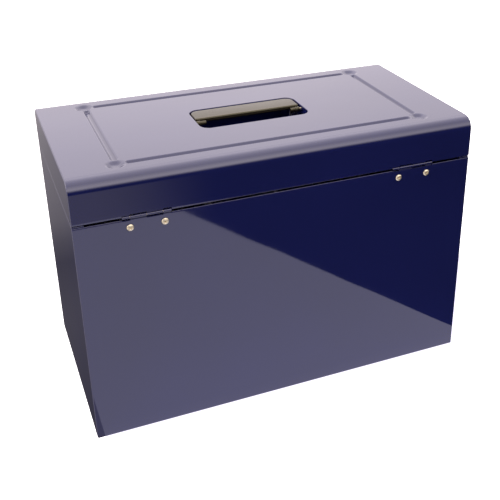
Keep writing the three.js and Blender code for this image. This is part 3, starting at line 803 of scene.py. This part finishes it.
def lock_bezel():
    bore, bezel, barrel = 5.8, 11.0, 9.2
    profile = [(bore, 15.9), (bore, -1.1), (bore + 0.15, -1.4), (bore + 0.5, -1.5), (bezel - 1.6, -1.5),
               (bezel - 0.7, -1.38), (bezel - 0.2, -1.05), (bezel, -0.6), (bezel, -0.3), (barrel, -0.3),
               (barrel, 15.7), (barrel - 0.3, 16), (bore + 0.2, 16)]
    return turned(in_metres(profile), LOCK_CENTRE, "Y", LOCK_SIDES, is_ring=True)


def lock_plug():
    """The turning plug, with the square end that carries the cam, a key slot and the screw's bore."""
    profile = [(0.3, -1.15), (4.2, -1.2), (5.2, -1.15), (5.5, -0.85), (5.5, 15.5), (5.3, 15.7), (0.3, 15.7)]
    plug = mesh_of(turned(in_metres(profile), LOCK_CENTRE, "Y", LOCK_SIDES))
    whole = combined(plug, [lock_box((-2.5, 14.7, -2.5), (2.5, 19, 2.5))], "UNION")
    slot_cut = lock_box((-0.7, -3, -4), (0.7, 2.8, 4))
    ward = lock_box((-1.2, -3, -0.6), (0.2, 2.8, 0.9))
    screw_bore = mesh_of(turned(in_metres([(1.5, 12.7), (1.5, 20)]), LOCK_CENTRE, "Y", 24))
    return combined(whole, [slot_cut, ward, screw_bore], "DIFFERENCE")


def make_lock():
    finish_piece(lock_bezel(), "lock_body_turned", "lid", "lock_chrome", ["lock_body"], smooth_angle=40)
    finish_piece(lock_plug(), "lock_plug_cut", "lock", "lock_chrome", ["lock_plug"], smooth_angle=40)
    for node, edge in (("lock_nut", 0.4), ("lock_cam", 0.25), ("lock_screw", 0.2)):
        refined(node, "bare_steel", edge * MM, 50)


# ---- Trays ----

TRAY_LIP, TRAY_WALL, TRAY_CORNER = 1.5 * MM, 1.2 * MM, 6 * MM
TRAY_ROUND_OUT, TRAY_ROUND_IN = 2.5 * MM, 1.5 * MM
KNOB_BORE, KNOB_BORE_REACH = 2.3 * MM, 3 * MM
# A knob from its face to its foot in the tray's wall: (radius, distance out from the wall).
KNOB = [(0.3, 9.5), (1.8, 9.45), (3.2, 9.25), (4.5, 8.75), (5.5, 7.85), (6, 6.6), (5.9, 5.5), (5.2, 4.4),
        (4.1, 3.5), (3.3, 2.7), (3, 1.9), (3.2, 1.2), (4.2, 0.7), (5, 0.6), (5, 0.3), (2, 0.3), (2, -1.5),
        (4, -1.5), (4, -1.9), (3.6, -2.5), (0.3, -2.5)]


def tray_profile(base, top):
    """The tray's wall in section, up its outside, round its lip and down its inside, as (outset, z)."""
    profile = [(-TRAY_ROUND_OUT + TRAY_ROUND_OUT * math.sin(a), base + TRAY_ROUND_OUT * (1 - math.cos(a)))
               for a in quarter_turn(5)]
    profile += [(0, top - 2.3 * MM), (0.2 * MM, top - 1.7 * MM), (TRAY_LIP - 0.3 * MM, top - 1.5 * MM),
                (TRAY_LIP, top - 1.2 * MM), (TRAY_LIP, top - 0.4 * MM), (TRAY_LIP - 0.4 * MM, top),
                (-TRAY_WALL + 0.5 * MM, top), (-TRAY_WALL + 0.1 * MM, top - 0.25 * MM),
                (-TRAY_WALL, top - 0.7 * MM)]
    profile += [(-TRAY_WALL - TRAY_ROUND_IN + TRAY_ROUND_IN * math.cos(a),
                 base + TRAY_WALL + TRAY_ROUND_IN * (1 - math.sin(a))) for a in quarter_turn(5)]
    return profile


def make_tray(level):
    node = f"{level}_tray"
    low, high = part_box(node)
    half_x, half_y = (high.x - low.x) / 2 - TRAY_LIP, (high.y - low.y) / 2 - TRAY_LIP
    middle = (low + high) / 2
    shell = tub(half_x, half_y, TRAY_CORNER, tray_profile(low.z, high.z), (middle.x, middle.y))
    knob_low, knob_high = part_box(f"{level}_tray_knob")
    knob = (knob_low + knob_high) / 2
    bore = [(KNOB_BORE, knob_low.x - KNOB_BORE_REACH), (KNOB_BORE, knob_high.x + KNOB_BORE_REACH)]
    drill = mesh_of(turned(bore, (0, knob.y, knob.z), "X", 32))
    moulding = combined(mesh_of(shell), [drill], "DIFFERENCE")
    finish_piece(moulding, f"{node}_moulded", node, "tray_plastic", [node], smooth_angle=40)

    outward = -1 if level == "upper" else 1
    wall_face = low.x + TRAY_LIP if level == "upper" else high.x - TRAY_LIP
    bm = turned(in_metres(KNOB, outward), (wall_face, knob.y, knob.z), "X", 40)
    finish_piece(bm, f"{level}_knob_turned", node, "handle_plastic", [f"{level}_tray_knob"], smooth_angle=50)
    for name in sorted(frame["nodes"]):
        if name.startswith(level) and "divider" in name:
            refined(name, "divider_plastic", 0.25 * MM)


# ---- Surroundings ----

CAMERA_AZIMUTH, CAMERA_ELEVATION, CAMERA_ROLL = 157.33, 24.99, -0.10
CAMERA_TARGET = Vector((-0.04488, 0, 0.18637))
CAMERA_DISTANCE = 0.88882
CAMERA_LENS = 59.95
CAMERA_SHIFT = (-0.08, -0.14)


def make_camera():
    """The photographer's place: behind the box and above it, to the right of its middle."""
    azimuth, elevation = math.radians(CAMERA_AZIMUTH), math.radians(CAMERA_ELEVATION)
    back = Vector((math.sin(azimuth) * math.cos(elevation), -math.cos(azimuth) * math.cos(elevation),
                   math.sin(elevation)))
    data = bpy.data.cameras.new("camera")
    data.sensor_width = 36
    data.lens = CAMERA_LENS
    data.shift_x, data.shift_y = CAMERA_SHIFT
    data.clip_start = 0.01
    camera = loose_object(data, "camera")
    turn = back.to_track_quat("Z", "Y").to_matrix().to_4x4()
    roll = Matrix.Rotation(math.radians(CAMERA_ROLL), 4, "Z")
    camera.matrix_world = Matrix.Translation(CAMERA_TARGET + back * CAMERA_DISTANCE) @ turn @ roll
    bpy.context.scene.camera = camera


def node_value(nodes, links, operation, *inputs):
    made = nodes.new("ShaderNodeMath")
    made.operation = operation
    for socket, value in zip(made.inputs, inputs):
        if isinstance(value, (int, float)):
            socket.default_value = value
        else:
            links.new(value, socket)
    return made.outputs["Value"]


def smooth_range(nodes, links, value, start, end, low=0.0, high=1.0):
    """A smooth step from low, where the value is start, to high, where it is end."""
    made = nodes.new("ShaderNodeMapRange")
    made.interpolation_type = "SMOOTHSTEP"
    links.new(value, made.inputs["Value"])
    for socket, number in zip(("From Min", "From Max", "To Min", "To Max"), (start, end, low, high)):
        made.inputs[socket].default_value = number
    return made.outputs["Result"]


LIGHT_COLOUR = (1.0, 0.91, 0.93)
# The tent's brightness by the angle over the box. 0 is the lock side's horizon, 180 and -180 the hinge
# side's, and angles below 0 lie under the horizon.
TENT_LIGHT = [
    (-180, 0.04), (-90, 0.04), (-40, 0.05), (-33, 0.08), (-29, 0.06), (-26.5, 0.17), (-21.5, 0.26),
    (-12, 0.9), (0, 0.9), (5, 1.1), (12, 1.9), (30, 2.3), (42, 3.4), (55, 4.0), (75, 3.3), (95, 2.7),
    (116, 2.3), (130, 2.9), (144, 3.6), (154, 3.2), (161, 1.6), (168, 0.35), (175, 0.05)]
TENT_BRIGHTEST = 4.0
# The tent's slow changes from side to side. Each span is where a change starts and ends, along the X, Y or Z
# of the direction: X runs along the box, Y from its lock side to its hinge side, and Z up.
REAR_SPAN = (0.15, 0.45)
REAR_SIDE_SPAN, REAR_SIDE_LEFT = (0.08, 0.3), 0.12
FAR_SIDE_SPAN, FAR_SIDE_LEFT = (-0.3, -0.6), 0.8
SIDE_LIGHT_SPAN, SIDE_LIGHT = (0.5, 0.9), 1.6
LOW_SPAN = (-0.15, -0.3)
LOW_GLOW_SPAN, LOW_GLOW_LIGHT = (-0.27, -0.12), 0.55


def studio_world():
    """A soft light tent round the box, brightest overhead and dim below the horizon."""
    world = bpy.data.worlds.new("studio")
    bpy.context.scene.world = world
    world.use_nodes = True
    nodes, links = world.node_tree.nodes, world.node_tree.links
    split = nodes.new("ShaderNodeSeparateXYZ")
    links.new(nodes.new("ShaderNodeTexCoord").outputs["Generated"], split.inputs["Vector"])
    x, y, z = (split.outputs[axis] for axis in "XYZ")
    ahead = node_value(nodes, links, "MULTIPLY", y, -1)
    over = node_value(nodes, links, "ARCTAN2", z, ahead)
    over = node_value(nodes, links, "MULTIPLY_ADD", over, 0.5 / math.pi, 0.5)
    stops = [((angle + 180) / 360, grey(light / TENT_BRIGHTEST)) for angle, light in TENT_LIGHT]
    shade = ramp(nodes, links, over, stops)
    strength = node_value(nodes, links, "MULTIPLY", shade, TENT_BRIGHTEST)
    aside = smooth_range(nodes, links, x, *REAR_SIDE_SPAN, 0, 1 - REAR_SIDE_LEFT)
    behind = smooth_range(nodes, links, y, *REAR_SPAN)
    lost = node_value(nodes, links, "MULTIPLY", aside, behind)
    kept = node_value(nodes, links, "SUBTRACT", 1, lost)
    strength = node_value(nodes, links, "MULTIPLY", strength, kept)
    far_side = smooth_range(nodes, links, x, *FAR_SIDE_SPAN, 1, FAR_SIDE_LEFT)
    strength = node_value(nodes, links, "MULTIPLY", strength, far_side)
    side_light = smooth_range(nodes, links, x, *SIDE_LIGHT_SPAN, 0, SIDE_LIGHT)
    strength = node_value(nodes, links, "ADD", strength, side_light)
    low = smooth_range(nodes, links, z, *LOW_SPAN)
    glow = smooth_range(nodes, links, x, *LOW_GLOW_SPAN, 0, LOW_GLOW_LIGHT)
    glow = node_value(nodes, links, "MULTIPLY", glow, low)
    strength = node_value(nodes, links, "MULTIPLY_ADD", glow, behind, strength)
    background = nodes["Background"]
    background.inputs["Color"].default_value = (*LIGHT_COLOUR, 1)
    links.new(strength, background.inputs["Strength"])


FLOOR_COLOUR = (1.0, 0.95, 1.12)
FLOOR_LIGHT = 1.28
# The pale sheet that the box stands on, seen from above.
FLOOR_CORNERS = [(-0.335, -0.1), (0.19, -0.1), (0.19, 0.545), (-0.0075, 0.545)]
BACKDROP_RADIUS = 6


def glowing_material(name, base, colour, light):
    made, _, _, shader = new_material(name)
    shader.inputs["Base Color"].default_value = (*grey(base), 1)
    shader.inputs["Emission Color"].default_value = (*colour, 1)
    shader.inputs["Emission Strength"].default_value = light
    return made, shader


def make_floor():
    """A plain pale sheet that glows evenly. The camera and the gloss see the same sheet."""
    material, shader = glowing_material("pale_floor", 0.02, FLOOR_COLOUR, FLOOR_LIGHT)
    shader.inputs["Roughness"].default_value = 0.9
    shader.inputs["Specular IOR Level"].default_value = 0
    mesh = bpy.data.meshes.new("floor")
    mesh.from_pydata([(x, y, 0) for x, y in FLOOR_CORNERS], [], [range(len(FLOOR_CORNERS))])
    mesh.materials.append(material)
    loose_object(mesh, "floor")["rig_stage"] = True


def make_backdrop():
    """A white dome that only the camera sees, so it neither lights the box nor shows in its gloss."""
    material, _ = glowing_material("pale_backdrop", 0.88, (1, 1, 1), 1.0)
    bm = bmesh.new()
    bmesh.ops.create_uvsphere(bm, u_segments=48, v_segments=24, radius=BACKDROP_RADIUS)
    mesh = mesh_of(bm, "backdrop")
    mesh.materials.append(material)
    dome = loose_object(mesh, "backdrop")
    dome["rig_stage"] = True
    for unseen in ("diffuse", "glossy", "transmission", "shadow", "volume_scatter"):
        setattr(dome, f"visible_{unseen}", False)


def make_surroundings():
    bpy.context.scene.view_settings.view_transform = "Standard"
    studio_world()
    make_floor()
    make_backdrop()


# ---- Assembly ----

make_camera()
make_surroundings()
make_body()
make_lid()
make_hinges()
make_handle_cup()
make_handle()
make_lock()
make_tray("upper")
make_tray("lower")

corners = [[list(corner) for corner in bounds] for bounds in (cad_bounds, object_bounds())]
